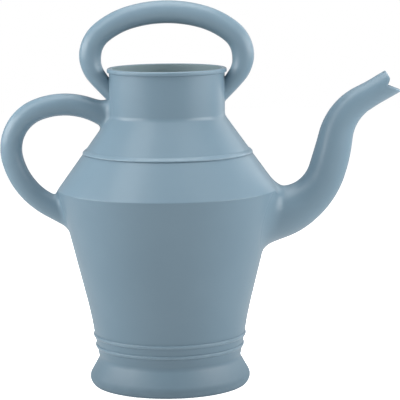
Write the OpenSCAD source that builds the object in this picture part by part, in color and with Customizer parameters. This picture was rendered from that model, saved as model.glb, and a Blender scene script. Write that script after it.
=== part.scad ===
// Milk-churn watering can: turned body shells, swan-neck spout,
// rear loop handle and top carrying hoop.
// Z is the body axis, the foot stands on z = 0 and the spout points to +X.

/* [Walls] */
// Wall thickness of the body shells
wall = 2.8; // [2.2:0.1:3.6]
// Wall thickness of the spout and of both hollow handles
tube_wall = 2.4; // [1.8:0.1:3]
// Height of the half-thickness lap at each shell joint
lap = 5; // [3:0.5:6]

/* [Body] */
// Outer radius at the widest crease, where tank and shoulder meet
max_r = 117.5; // [112:0.5:122]
// Height of the widest crease
max_z = 211.5; // [206:0.5:218]
// Outer radius where the shoulder band sits
band_r = 88.2; // [85:0.1:90]
// Height of the middle of the shoulder band
band_z = 252; // [250:0.5:254]
// Outer radius of the neck
neck_r = 61.4; // [58:0.1:64]
// Height of the crease between throat and neck
neck_z = 289.5; // [286:0.5:292]
// Overall height of the body, to the top of the rim
top_z = 340; // [334:1:346]
// Fall of the tank's radius per millimetre of height
tank_taper = 0.2465; // [0.235:0.0005:0.255]
// Height below which the tank's taper eases towards vertical
ease_z = 96; // [85:1:105]
// Radius of that easing, seen from the side
ease_r = 430; // [400:10:480]

/* [Foot] */
// Outer radius of the waist above the foot
waist_r = 76.2; // [75.5:0.1:77]
// Radius at which the foot's flare and its heel would meet if that bend were sharp
foot_r = 87.9; // [87:0.1:88.5]
// Radius at which the heel would meet the ground if that edge were sharp
heel_r = 82.4; // [81.5:0.1:83]
// Radius of the foot's rounded bottom edge
foot_edge_r = 3.9; // [3.5:0.1:4.5]
// Inner radius of the standing ring
stand_r = 75.5; // [74:0.5:77]
// Height of the water side of the base pan
pan_z = 17.6; // [16:0.2:19]

/* [Bands and rim] */
// Height of the lower edge of the waist band
waist_band_z = 38; // [36:0.5:40]
// Height of the waist band
waist_band_h = 21.5; // [20:0.5:23]
// How far the waist beads stand proud
bead = 1.5; // [1:0.1:2]
// How far the shoulder band stands proud
band_proud = 1.7; // [1:0.1:2.2]
// Height of the shoulder band
band_h = 4.4; // [3.6:0.2:6]
// How far the rim stands proud of the neck
rim_proud = 2.2; // [1.5:0.1:3]
// Height of the rim
rim_h = 4.5; // [4:0.25:6]

/* [Spout] */
// Distance of the spout's root centre from the axis
spout_x = 100.4; // [98:0.2:102]
// Height of the spout's root centre
spout_z = 181.9; // [180:0.1:186]
// Rise of the spout where it leaves the tank, in degrees
spout_rise = 8.8; // [6:0.1:11]
// Radius of the hole in the tank and shoulder under the spout
spout_hole_r = 20; // [16:1:22]
// How far the lower lip of the tip reaches past its side notches
lower_lip = 10.2; // [7:0.2:12]
// How far the upper lip of the tip reaches past its side notches
upper_lip = 6.3; // [3:0.1:7]

/* [Handles] */
// Radius of the handle tubes where a hand grips them
grip_r = 11.8; // [10.5:0.1:13]
// Radius of the hoop where it meets the neck, seen from the side
hoop_root_r = 8.4; // [8:0.1:11]
// Height of the centre of the carrying hoop's tube at its crown
hoop_z = 399.1; // [396:0.1:404]

/* [Hidden] */
turn_fn = 96;
shell_colour = [0.53, 0.63, 0.69];
trim_colour = [0.50, 0.60, 0.66];

// ---- outline of the body ----------------------------------------------
shoulder_taper = (max_r - band_r) / (band_z - max_z);
throat_taper = (band_r - neck_r) / (neck_z - band_z);
function hyp(a, b) = sqrt(a * a + b * b);
// Radial thickness of a wall of thickness t that leans by this taper
function across(t, taper) = t * hyp(1, taper);
// Radius of the body wall at height z, t below its outer face
function tank_r(z, t) = max_r - tank_taper * (max_z - z)
    + pow(max(ease_z - z, 0), 2) / (2 * ease_r) - across(t, tank_taper);
function shoulder_r(z, t) = band_r + shoulder_taper * (band_z - z) - across(t, shoulder_taper);
function throat_r(z, t) = band_r + throat_taper * (band_z - z) - across(t, throat_taper);
function wall_r(z, t = 0) =
    min(tank_r(z, t), max(shoulder_r(z, t), throat_r(z, t), neck_r - t));
// Heights of the creases of the face t below the outer one
function max_crease(t) = max_z + (shoulder_r(max_z, t) - tank_r(max_z, t))
    / (tank_taper + shoulder_taper);
function neck_crease(t) = band_z + (throat_r(band_z, t) - neck_r + t) / throat_taper;
// Points up one face of the wall from z0 to z1, with the heights listed in between
function face(z0, z1, t, between = []) =
    [for (z = concat([z0], [for (b = between) if (b > z0 && b < z1) b], [z1])) [wall_r(z, t), z]];
function backwards(p) = [for (i = [len(p) - 1:-1:0]) p[i]];
ease_steps = [for (z = [waist_band_z:6:ease_z]) z];

waist_top = waist_band_z + waist_band_h;
band_low = band_z - band_h / 2;
band_top = band_z + band_h / 2;
neck_joint = neck_z + lap + 2;
rim_low = top_z - rim_h;
rim_wall = 2;
half = wall / 2;

// ---- foot --------------------------------------------------------------
flare = 0.56;
flare_top = 28.8;
flare_low = flare_top - (foot_r - waist_r) / flare;
waist_bend_r = 10;
hip_bend_r = 9.6;
// Height at which the waist starts to widen towards the tank
waist_start = flare_top + 2;
// Radius of the wall between the waist and the bottom of the tank, t below its outer face
function waist_wall_r(z, t) = waist_r - t + (wall_r(waist_top) - waist_r)
    * pow((z - waist_start) / (waist_top - waist_start), 0.9);
// Arc of radius r round the corner b of the path a, b, c
function corner(a, b, c, r, n = 6) =
    let (u = (a - b) / norm(a - b), v = (c - b) / norm(c - b),
         half_turn = acos(u * v) / 2, m = (u + v) / norm(u + v),
         o = b + m * r / sin(half_turn), p = b + u * r / tan(half_turn),
         start = atan2(p.y - o.y, p.x - o.x), q = b + v * r / tan(half_turn),
         end = atan2(q.y - o.y, q.x - o.x), d = end - start,
         sweep = d > 180 ? d - 360 : d < -180 ? d + 360 : d)
    [for (i = [0:n]) o + r * [cos(start + sweep * i / n), sin(start + sweep * i / n)]];
// The path p moved t to its left
function inset(p, t) = let (n = len(p))
    [for (i = [0:n - 1])
        let (a = unit(p[max(i, 1)] - p[max(i, 1) - 1]),
             b = unit(p[min(i + 1, n - 1)] - p[min(i + 1, n - 1) - 1]),
             u = [-a.y, a.x], v = [-b.y, b.x])
        p[i] + t * (u + v) / (1 + u * v)];
// Outline of the foot t inside its outer face, from the waist down to the ring
function foot_path(t) =
    let (p = inset([[stand_r, 0], [heel_r, 0], [foot_r, flare_low], [waist_r, flare_top],
                    [waist_r, waist_band_z]], t))
    concat(corner(p[4], p[3], p[2], waist_bend_r + t), corner(p[3], p[2], p[1], hip_bend_r - t),
           corner(p[2], p[1], p[0], foot_edge_r - t));

module foot() {
    sleeve_top = waist_top + lap;
    sleeve = [for (z = [waist_band_z:5:sleeve_top - 1]) z];
    color(shell_colour)
    rotate_extrude($fn = turn_fn)
        polygon(concat(
            [[waist_wall_r(waist_band_z, 0), waist_band_z]], foot_path(0),
            [[stand_r, 0], [stand_r, wall]], backwards(foot_path(wall)),
            [for (z = sleeve) [waist_wall_r(z, wall), z]],
            [[wall_r(sleeve_top, wall), sleeve_top], [wall_r(sleeve_top, half), sleeve_top]],
            backwards([for (z = sleeve) [waist_wall_r(z, half), z]])));
}

module base_pan() {
    pan_t = 2.6;
    flange_h = 7;
    // Radius of the foot's inner cone, which the pan's flange is bonded to
    function seat(z) = waist_r + flare * (flare_top - z) - across(wall, flare);
    color(shell_colour)
    rotate_extrude($fn = turn_fn)
        polygon([[0, pan_z - pan_t], [seat(pan_z - pan_t), pan_z - pan_t],
                 [seat(pan_z + flange_h), pan_z + flange_h],
                 [seat(pan_z + flange_h) - pan_t, pan_z + flange_h],
                 [seat(pan_z) - pan_t, pan_z], [0, pan_z]]);
}

module waist_band() {
    // Two half-round beads with plain wall between them
    bead_at = [waist_band_z + 0.21 * waist_band_h, waist_band_z + 0.75 * waist_band_h];
    bead_half = 2.1;
    bead_steps = 8;
    face_rows = concat([waist_band_z],
        [for (b = bead_at) each [for (i = [0:bead_steps]) b - bead_half * cos(180 * i / bead_steps)]],
        [waist_top]);
    function proud(z) = bead * max([for (b = bead_at) let (u = abs(z - b) / bead_half)
                                    u < 1 ? sqrt(1 - u * u) : 0]);
    inner = [for (z = [waist_band_z:5:waist_top - 1]) z];
    color(trim_colour)
    rotate_extrude($fn = turn_fn)
        polygon(concat(
            [for (z = face_rows) [waist_wall_r(z, 0) + proud(z), z]],
            [[waist_wall_r(waist_top, half), waist_top]],
            backwards([for (z = inner) [waist_wall_r(z, half), z]])));
}

// ---- body shells --------------------------------------------------------
module tank() {
    sleeve_top = waist_top + lap;
    color(shell_colour)
    difference() {
        rotate_extrude($fn = turn_fn)
            polygon(concat(
                face(waist_top, max_z, 0, ease_steps),
                [[wall_r(max_z, half), max_z]],
                [[wall_r(max_z - lap, half), max_z - lap]],
                backwards(face(sleeve_top, max_z - lap, wall, ease_steps)),
                [[wall_r(sleeve_top, half), sleeve_top], [wall_r(waist_top, half), waist_top]]));
        spout_hole();
    }
}

module shoulder() {
    color(shell_colour)
    difference() {
        rotate_extrude($fn = turn_fn)
            polygon(concat(
                [[wall_r(max_z, half), max_z], [wall_r(max_z, 0), max_z]],
                [[wall_r(band_low, 0), band_low], [wall_r(band_low, half), band_low]],
                [[wall_r(band_low - lap, half), band_low - lap]],
                [[wall_r(band_low - lap, wall), band_low - lap]],
                [[wall_r(max_crease(wall), wall), max_crease(wall)]],
                [[wall_r(max_z - lap, wall), max_z - lap]],
                [[wall_r(max_z - lap, half), max_z - lap]]));
        spout_hole();
    }
}

module shoulder_band() {
    // A lip over the joint between shoulder and throat, fullest near its lower edge
    color(trim_colour)
    rotate_extrude($fn = turn_fn)
        polygon(concat(
            [[wall_r(band_low, half), band_low], [wall_r(band_low, 0), band_low]],
            [for (i = [1:11]) let (u = (1 - cos(15 * i)) / 2, z = band_low + band_h * u)
                [wall_r(z) + band_proud * pow(sin(180 * pow(u, 0.6)), 0.7), z]],
            [[wall_r(band_top, 0), band_top], [wall_r(band_top, half), band_top]],
            [[wall_r(band_z, half), band_z]]));
}

module throat() {
    color(shell_colour)
    rotate_extrude($fn = turn_fn)
        polygon(concat(
            [[wall_r(band_low - lap, wall), band_low - lap]],
            [[wall_r(band_low - lap, half), band_low - lap], [wall_r(band_z, half), band_z]],
            [[wall_r(band_top, half), band_top], [wall_r(band_top, 0), band_top]],
            [[neck_r, neck_z], [neck_r, neck_joint], [neck_r - half, neck_joint]],
            [[neck_r - half, neck_joint - lap], [neck_r - wall, neck_joint - lap]],
            [[neck_r - wall, neck_crease(wall)], [wall_r(band_z, wall), band_z]]));
}

module neck() {
    color(shell_colour)
    rotate_extrude($fn = turn_fn)
        polygon([[neck_r - wall, neck_joint - lap], [neck_r - half, neck_joint - lap],
                 [neck_r - half, neck_joint], [neck_r, neck_joint],
                 [neck_r, top_z - rim_wall], [neck_r - wall, top_z - rim_wall]]);
}

module rim() {
    // A folded lip that caps the neck's edge
    round_r = 1.2;
    out = neck_r + rim_proud;
    in = neck_r - wall;
    color(trim_colour)
    rotate_extrude($fn = turn_fn)
        polygon(concat(
            [[neck_r, rim_low]], corner([neck_r, rim_low], [out, rim_low], [out, top_z], round_r / 2),
            corner([out, rim_low], [out, top_z], [in, top_z], round_r),
            [[in, top_z], [in, top_z - rim_wall], [neck_r, top_z - rim_wall]]));
}

// ---- tubes that follow a path of arcs in the XZ plane -------------------
// A leg is [radius, turn] for an arc, turning left when turn > 0, or [0, length].
function leg_length(leg) = leg[0] == 0 ? leg[1] : leg[0] * abs(leg[1]) * PI / 180;
function along(p, h, leg, s) = leg[0] == 0 ? [p + s * [cos(h), sin(h)], h]
    : let (side = sign(leg[1]), o = p + leg[0] * side * [-sin(h), cos(h)],
           g = h + side * s / leg[0] * 180 / PI)
      [o + leg[0] * side * [sin(g), -cos(g)], g];
// Point and heading at distance s along the legs that start at p with heading h
function walk(p, h, legs, s, i = 0) =
    let (l = leg_length(legs[i]))
    s <= l || i == len(legs) - 1 ? along(p, h, legs[i], s)
    : let (e = along(p, h, legs[i], l)) walk(e[0], e[1], legs, s - l, i + 1);
function path_length(legs, i = 0) =
    i == len(legs) ? 0 : leg_length(legs[i]) + path_length(legs, i + 1);
// Slope of the fair curve through keys [s, value] at key i
function key_slope(keys, i) =
    let (a = keys[max(i - 1, 0)], b = keys[min(i + 1, len(keys) - 1)]) (b[1] - a[1]) / (b[0] - a[0]);
// Value at s on the fair curve through the keys, and constant past its ends
function eased(keys, s, i = 0) =
    len(keys) == 1 || s <= keys[0][0] ? keys[0][1] : i == len(keys) - 1 ? keys[i][1]
    : s > keys[i + 1][0] ? eased(keys, s, i + 1)
    : let (w = keys[i + 1][0] - keys[i][0], u = (s - keys[i][0]) / w, v = 1 - u)
      keys[i][1] * v * v * (1 + 2 * u) + keys[i + 1][1] * u * u * (3 - 2 * u)
      + w * u * v * (key_slope(keys, i) * v - key_slope(keys, i + 1) * u);

// A tube is [start, heading, legs, keys of the radius in the XZ plane, keys of the radius in Y].
// Point on the tube at distance s and angle a round it, t below its outer face
function skin(tube, s, a, t = 0) =
    let (q = walk(tube[0], tube[1], tube[2], s), r = eased(tube[3], s) - t,
         w = eased(tube[4], s) - t)
    [q[0].x - r * cos(a) * sin(q[1]), w * sin(a), q[0].y + r * cos(a) * cos(q[1])];
// Distance of a point outside the body wall
function outside(p) = hyp(p.x, p.y) - wall_r(p.z);
// Where the line at angle a round the tube comes out of the body, between s0 inside and s1 outside
function exit(tube, a, t, s0, s1, n = 14) =
    let (m = (s0 + s1) / 2)
    n == 0 ? m : outside(skin(tube, m, a, t)) > 0 ? exit(tube, a, t, s0, m, n - 1)
    : exit(tube, a, t, m, s1, n - 1);
function unit(v) = v / norm(v);
// Outward normal of the body wall, taken over a short height so that creases are eased
function wall_normal(p) =
    let (d = 5, slope = (wall_r(p.z + d) - wall_r(p.z - d)) / (2 * d), r = hyp(p.x, p.y))
    unit([p.x / r, p.y / r, -slope]);
// Point moved radially to lie k above the body wall
function onto_wall(p, k) = let (r = wall_r(p.z) + k, q = hyp(p.x, p.y)) [p.x * r / q, p.y * r / q, p.z];
// Flared root of the tube at angle a: points from the tube's side down to the body wall.
// dir is 1 where the tube leaves the body as s grows, and -1 where it comes back.
skirt_steps = 5;
skirt_edge = 0.8;
function skirt(tube, a, s_in, s_out, flare_r, dir) =
    let (s = exit(tube, a, 0, s_in, s_out), foot_pt = skin(tube, s, a),
         centre = walk(tube[0], tube[1], tube[2], s)[0], n = wall_normal(foot_pt),
         e = unit(foot_pt - [centre.x, 0, centre.y]), spread = unit(e - (e * n) * n),
         top = skin(tube, s + dir * flare_r, a),
         edge = onto_wall(foot_pt + flare_r * spread, skirt_edge))
    concat([for (i = [0:skirt_steps]) let (u = i / skirt_steps)
                (1 - u) * (1 - u) * top + 2 * u * (1 - u) * foot_pt + u * u * edge],
           [edge - 3 * n]);
// Closed skin from a grid of rings: rings[i][j] goes round and round in both directions
module ring_solid(rings) {
    m = len(rings);
    n = len(rings[0]);
    polyhedron(
        points = [for (r = rings) for (p = r) p],
        faces = [for (i = [0:m - 1]) for (j = [0:n - 1])
                 let (a = i * n + j, b = ((i + 1) % m) * n + j, c = ((i + 1) % m) * n + (j + 1) % n,
                      d = i * n + (j + 1) % n)
                 each [[a, c, b], [a, d, c]]]);
}
// Solid of everything inside the outer face of the body, which trims the tube roots
module body_core() {
    rotate_extrude($fn = turn_fn)
        polygon(concat([[0, ease_z]], face(ease_z, top_z - rim_wall, 0, [max_z, band_z, neck_z]),
                       [[0, top_z - rim_wall]]));
}

// ---- spout ---------------------------------------------------------------
spout_legs = [[0, 17.2], [65.6, 63.1], [284, 7.5], [59, -49.6], [0, 29.2]];
spout_end = path_length(spout_legs);
spout_keys = [[6, 31.3], [30, 26.4], [52, 22.3], [75, 20.2], [105, 19.7], [130, 18.2],
              [165, 15.4], [188, 13.8], [spout_end, 13.9]];
spout_tube = [[spout_x, spout_z], spout_rise, spout_legs, spout_keys, spout_keys];
spout_sides = 28;
// Reach of the root's flare at angle a: least below, more above and most at the sides
function spout_flare(a) = 9 + 5.5 * abs(sin(a)) + 3 * max(0, cos(a));
module spout_hole() {
    translate([spout_x, 0, spout_z])
        rotate([0, 90 - spout_rise, 0])
            cylinder(h = 60, r = spout_hole_r, center = true, $fn = 64);
}
// How far the cut edge of the tip reaches past the notches at angle a
function lip_reach(a) =
    let (up = cos(a)) up > 0 ? upper_lip * sin(90 * min(1, 2 * up)) : -lower_lip * up;
module spout() {
    clear_s = 62;
    rows = 22;
    lip_rows = 3;
    last_s = spout_end - 12;
    color(shell_colour)
    difference() {
        ring_solid([for (i = [0:spout_sides - 1]) let (a = 360 * i / spout_sides,
                tip = spout_end + lip_reach(a),
                low = exit(spout_tube, a, tube_wall, 0, clear_s) + 2,
                root = exit(spout_tube, a, 0, 0, clear_s) + spout_flare(a))
            concat(
                backwards(skirt(spout_tube, a, 0, clear_s, spout_flare(a), 1)),
                [for (k = [1:3]) skin(spout_tube, root + (clear_s - root) * k / 4, a)],
                [for (k = [0:rows]) skin(spout_tube, clear_s + (last_s - clear_s) * k / rows, a)],
                [for (k = [1:lip_rows]) skin(spout_tube, last_s + (tip - last_s) * k / lip_rows, a)],
                [for (k = [lip_rows:-1:1])
                    skin(spout_tube, last_s + (tip - last_s) * k / lip_rows, a, tube_wall)],
                [for (k = [rows:-1:0])
                    skin(spout_tube, clear_s + (last_s - clear_s) * k / rows, a, tube_wall)],
                [for (k = [3:-1:0]) skin(spout_tube, low + (clear_s - low) * k / 4, a, tube_wall)],
                [skin(spout_tube, low - 5, a, tube_wall)])]);
        body_core();
    }
}

// ---- handles ---------------------------------------------------------------
handle_sides = 24;
// Hollow tube with both ends flared on to the body; grip is its [first, last] clear distance
module looped_handle(tube, grip, ends, flares, rows) {
    ring_solid([for (i = [0:handle_sides - 1]) let (a = 360 * i / handle_sides,
            in_a = exit(tube, a, tube_wall, ends[0], grip[0]),
            in_b = exit(tube, a, tube_wall, ends[1], grip[1]),
            out_a = exit(tube, a, 0, ends[0], grip[0]) + flares[0],
            out_b = exit(tube, a, 0, ends[1], grip[1]) - flares[1])
        concat(
            backwards(skirt(tube, a, ends[0], grip[0], flares[0], 1)),
            [skin(tube, (out_a + grip[0]) / 2, a)],
            [for (k = [0:rows]) skin(tube, grip[0] + (grip[1] - grip[0]) * k / rows, a)],
            [skin(tube, (out_b + grip[1]) / 2, a)],
            skirt(tube, a, ends[1], grip[1], flares[1], -1),
            [skin(tube, in_b + 3, a, tube_wall), skin(tube, in_b - 1, a, tube_wall)],
            [for (k = [rows:-1:0])
                skin(tube, grip[0] + (grip[1] - grip[0]) * k / rows, a, tube_wall)],
            [skin(tube, in_a + 1, a, tube_wall), skin(tube, in_a - 3, a, tube_wall)])]);
}

rear_legs = [[0, 8], [78.9, 57.4], [45.1, 82.3], [76.5, 47.3], [0, 40]];
rear_keys = [[0, grip_r], [197, grip_r], [217, grip_r + 0.5]];
rear_tube = [[-56.5, 282.1], 144, rear_legs, rear_keys, rear_keys];
rear_end = path_length(rear_legs);
module rear_handle() {
    color(shell_colour)
    difference() {
        looped_handle(rear_tube, [42, rear_end - 52], [0, rear_end], [9, 10], 30);
        body_core();
    }
}

// Half of the hoop from its crown down to the neck, and its mirror image before it
hoop_half = [[138, 15.9], [87, 23], [33.5, 87.5], [197, 12]];
hoop_half_length = path_length(hoop_half);
hoop_legs = concat(backwards(hoop_half), hoop_half);
hoop_foot = walk([0, hoop_z], 180, hoop_half, hoop_half_length);
// Distances from the neck, with the radius there
hoop_rise = [[0, hoop_root_r], [20, hoop_root_r + 0.1], [50, hoop_root_r + 2.2], [66, grip_r]];
hoop_keys = concat(hoop_rise, [for (k = backwards(hoop_rise)) [2 * hoop_half_length - k[0], k[1]]]);
hoop_tube = [[-hoop_foot[0].x, hoop_foot[0].y], 180 - (hoop_foot[1] - 180), hoop_legs, hoop_keys,
             [[0, grip_r]]];
module top_handle() {
    color(shell_colour)
    difference() {
        looped_handle(hoop_tube, [42, 2 * hoop_half_length - 42], [0, 2 * hoop_half_length],
                      [1.5, 1.5], 36);
        body_core();
    }
}

base_pan();
foot();
waist_band();
tank();
shoulder();
shoulder_band();
throat();
neck();
rim();
spout();
rear_handle();
top_handle();
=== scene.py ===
"""Milk-churn watering can in slate-blue moulded plastic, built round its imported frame.

The body is a stack of turned shells cut from one outline. The spout and the two handles are
hollow tubes that follow arcs in the XZ plane and flare on to the body. Lengths are in metres.
"""

import math

import bmesh
import bpy
import numpy as np
from bpy.props import FloatProperty, FloatVectorProperty, IntProperty, PointerProperty
from mathutils import Euler, Matrix, Vector


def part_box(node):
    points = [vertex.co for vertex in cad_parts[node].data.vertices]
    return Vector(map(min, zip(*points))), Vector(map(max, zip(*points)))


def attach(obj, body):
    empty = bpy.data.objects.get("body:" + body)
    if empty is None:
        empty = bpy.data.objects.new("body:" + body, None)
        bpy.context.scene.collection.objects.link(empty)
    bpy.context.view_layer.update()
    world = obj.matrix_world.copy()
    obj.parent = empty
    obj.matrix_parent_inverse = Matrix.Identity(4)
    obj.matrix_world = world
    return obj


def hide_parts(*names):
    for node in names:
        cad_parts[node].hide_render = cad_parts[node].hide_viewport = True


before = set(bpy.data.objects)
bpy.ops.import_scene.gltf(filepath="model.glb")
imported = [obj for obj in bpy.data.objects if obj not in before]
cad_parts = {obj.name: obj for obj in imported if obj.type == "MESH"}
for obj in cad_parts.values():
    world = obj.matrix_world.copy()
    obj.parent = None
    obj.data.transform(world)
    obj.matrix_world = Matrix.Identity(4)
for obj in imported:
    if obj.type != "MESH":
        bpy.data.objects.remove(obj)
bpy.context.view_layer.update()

bl_info = {
    "name": "Watering can",
    "version": (1, 0, 0),
    "blender": (4, 5, 0),
    "location": "3D View > Sidebar > Watering can",
    "description": "Builds a moulded watering can and its studio round the packed frame",
    "category": "Add Mesh",
}

MM = 0.001
ROOT = "root"
TANK_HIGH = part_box("tank")[1]
NECK_LOW, NECK_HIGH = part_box("neck")
RIM_LOW, RIM_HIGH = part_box("rim")
WAIST_LOW, WAIST_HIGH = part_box("waist_band")
BAND_LOW, BAND_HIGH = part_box("shoulder_band")
PAN_LOW, PAN_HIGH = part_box("base_pan")
TINY = 1e-6

# Shares of the waist band's height at which its two beads lie
BEAD_SHARES = (0.21, 0.75)
SPOUT_HOLE = 20 * MM
PAN_THICKNESS = 2.6 * MM

# Paths of the tubes in millimetres and degrees. Each leg is (radius, turn) or (0, length). Each
# key is (distance from the start, tube radius), and each swell adds to the radius instead.
SPOUT_START, SPOUT_HEADING = (100.4, 181.9), 8.8
SPOUT_LEGS = ((0, 17.2), (65.6, 63.1), (284, 7.5), (59, -49.6), (0, 29.2))
SPOUT_KEYS = ((6, 31.3), (30, 26.4), (52, 22.3), (75, 20.2), (105, 19.7), (130, 18.2),
              (165, 15.4), (188, 13.8), (206.9, 13.9))
REAR_START, REAR_HEADING = (-56.5, 282.1), 144
REAR_LEGS = ((0, 8), (78.9, 57.4), (45.1, 82.3), (76.5, 47.3), (0, 40))
REAR_SWELL = ((0, 0), (197, 0), (217, 0.5))
HOOP_HALF = ((138, 15.9), (87, 23), (33.5, 87.5), (197, 12))
HOOP_SWELL = ((0, 0), (20, 0.1), (50, 2.2))
HOOP_SWELLED = 66 * MM
# How much of a tube at its start and its end is taken up by the roots or the tip
SPOUT_ENDS = (66 * MM, 12 * MM)
REAR_ENDS = (42 * MM, 52 * MM)
HOOP_ENDS = (44 * MM, 44 * MM)
# How far a tube's inner face runs on into the body
INNER_RUN = 1.5 * MM
# A flared root's fullness, how far its edge is tucked into the wall, and the heights over which
# the wall's slope is averaged at the tube and at the edge
FLARE_FULLNESS = 0.62
FLARE_EDGE = 0.8 * MM
TUBE_WINDOW = 8 * MM
EDGE_WINDOW = 0.6 * MM
LIP_ROUND = 0.8 * MM
# Wear of the lips, at most 1, and of the middle of each grip
LIP_RUB = 0.7
GRIP_RUB = 0.5
# Roughness that the mottle and the grain add at their strongest
MOTTLE_ROUGHNESS = 0.16
GRAIN_ROUGHNESS = 0.06


# ---- sizes and finishes that a user would change ----

def length(name, description, default):
    """A length in metres."""
    return FloatProperty(name=name, description=description, default=default, unit="LENGTH",
                         subtype="DISTANCE", precision=5)


def number(name, description, default, **limits):
    """A plain number."""
    return FloatProperty(name=name, description=description, default=default, **limits)


def angle(name, description, degrees):
    """An angle given in degrees."""
    return number(name, description, math.radians(degrees), subtype="ANGLE")


def colour(name, description, default):
    """A linear RGB colour."""
    return FloatVectorProperty(name=name, description=description, default=default, size=3,
                               min=0, max=1, subtype="COLOR")


class CanBodySizes(bpy.types.PropertyGroup):
    """Sizes of the turned body."""
    wall: length("Wall", "Wall thickness of the body shells", 2.8 * MM)
    lap: length("Lap", "Height of the half-thickness lap at each joint", 5 * MM)
    max_radius: length("Widest radius", "Radius of the crease under the shoulder", TANK_HIGH[0])
    max_height: length("Widest height", "Height of the crease under the shoulder", TANK_HIGH[2])
    band_radius: length("Band radius", "Body radius under the shoulder band", 88.2 * MM)
    neck_radius: length("Neck radius", "Outer radius of the neck", NECK_HIGH[0])
    neck_crease: length("Neck crease", "Height at which the throat turns into the neck", 289.5 * MM)
    tank_taper: number("Tank taper", "Radius gained per height", 0.2465)
    ease_height: length("Ease height", "Height below which the tank steepens", 96 * MM)
    ease_radius: length("Ease radius", "Side-view radius of that easing", 430 * MM)
    waist_radius: length("Waist radius", "Smallest radius, above the foot", 76.2 * MM)
    foot_corner: length("Foot corner", "Radius where the flare and the heel would meet", 87.9 * MM)
    foot_flare: number("Foot flare", "Radius lost per height above the foot", 0.56)
    flare_top: length("Flare top", "Height of the waist's narrowest point", 28.8 * MM)
    heel_radius: length("Heel radius", "Outer radius of the standing ring", 82.4 * MM)
    stand_radius: length("Standing radius", "Inner radius of the standing ring", 75.5 * MM)
    heel_round: length("Heel round", "Radius of the foot's bottom edge", 3.9 * MM)
    hip_round: length("Hip round", "Radius of the foot's widest bend", 9.6 * MM)
    waist_round: length("Waist round", "Radius of the bend above the foot", 10 * MM)
    crease_round: length("Crease round", "Softness of the widest crease", 1.6 * MM)
    neck_round: length("Neck round", "Softness of the crease below the neck", 9 * MM)
    bead_height: length("Bead height", "How far the waist beads stand proud", 1.5 * MM)
    bead_half: length("Bead half width", "Half the height of each waist bead", 2.1 * MM)
    band_height: length("Band height", "How far the shoulder band stands proud", 1.7 * MM)
    segments: IntProperty(name="Segments", description="Facets round the body", default=216,
                          min=48, max=512)


class CanTubeSizes(bpy.types.PropertyGroup):
    """Sizes of the spout and the handles."""
    tube_wall: length("Tube wall", "Wall thickness of the spout and handles", 2.4 * MM)
    grip_radius: length("Grip radius", "Radius of the handle tubes", 11.8 * MM)
    hoop_root_radius: length("Hoop root", "Radius of the hoop where it meets the neck", 8.4 * MM)
    crown_height: length("Crown height", "Height of the hoop tube's centre at the top", 399.1 * MM)
    upper_lip: length("Upper lip", "Reach of the tip's upper lip past the notches", 6.3 * MM)
    lower_lip: length("Lower lip", "Reach of the tip's lower lip past the notches", 10.2 * MM)
    sides: IntProperty(name="Sides", description="Facets round each tube", default=72,
                       min=24, max=160)


class CanFinish(bpy.types.PropertyGroup):
    """Colours and gloss of the plastic."""
    shell_colour: colour("Shell colour", "Body plastic", (0.184, 0.274, 0.342))
    # Painted shade: this colour darkens the foot's standing edge and its flare
    foot_shade_colour: colour("Foot shade colour", "Painted shade on the standing edge and the flare", (0.075, 0.12, 0.155))
    # Painted light: this colour lightens the inner faces as if more light came in through the mouth
    inner_light_colour: colour("Inner light colour", "Painted light on the inner faces", (0.27, 0.36, 0.385))
    deep_colour: colour("Deep colour", "Slightly darker areas of the mottle", (0.176, 0.264, 0.331))
    rub_colour: colour("Rubbed colour", "Edges polished by handling", (0.240, 0.338, 0.412))
    roughness: number("Roughness", "Roughness of the moulded face", 0.34, min=0, max=1,
                      subtype="FACTOR")


class CanStage(bpy.types.PropertyGroup):
    """Camera and studio."""
    distance: length("Camera distance", "From the camera to the point it looks at", 2.153)
    look_x: length("Look at X", "Where the camera looks, along the can", 33.9 * MM)
    look_z: length("Look at Z", "Where the camera looks, in height", 198 * MM)
    elevation: angle("Elevation", "Camera above the horizon", 8.15)
    roll: angle("Roll", "Turn of the camera about its view", 0.55)
    lens: number("Lens", "Focal length in millimetres", 181.1)
    brightness: number("Brightness", "Scales every softbox", 1)
    bounce: number("Bounce", "Scales the fill from the world", 1)


# ---- outline of the body ----

def corner(before, at, after, radius, steps=10):
    """Points of the arc that rounds the corner at, on the way from before to after."""
    before, at, after = (np.array(p, float) for p in (before, at, after))
    u = (before - at) / np.linalg.norm(before - at)
    v = (after - at) / np.linalg.norm(after - at)
    half_turn = math.acos(float(u @ v)) / 2
    middle = (u + v) / np.linalg.norm(u + v)
    centre = at + middle * radius / math.sin(half_turn)
    reach = radius / math.tan(half_turn)
    start = math.atan2(*(at + u * reach - centre)[::-1])
    end = math.atan2(*(at + v * reach - centre)[::-1])
    sweep = (end - start + math.pi) % (2 * math.pi) - math.pi
    bearings = start + sweep * np.linspace(0, 1, steps + 1)
    return centre + radius * np.stack([np.cos(bearings), np.sin(bearings)], axis=1)


def inset(path, t):
    """A path of (radius, height) moved t to its left."""
    path = np.array(path, float)
    along = np.diff(path, axis=0)
    left = np.stack([-along[:, 1], along[:, 0]], 1)
    left /= np.linalg.norm(left, axis=1, keepdims=True)
    before, after = np.vstack([left[:1], left]), np.vstack([left, left[-1:]])
    return path + t * (before + after) / (1 + (before * after).sum(1, keepdims=True))


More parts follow.
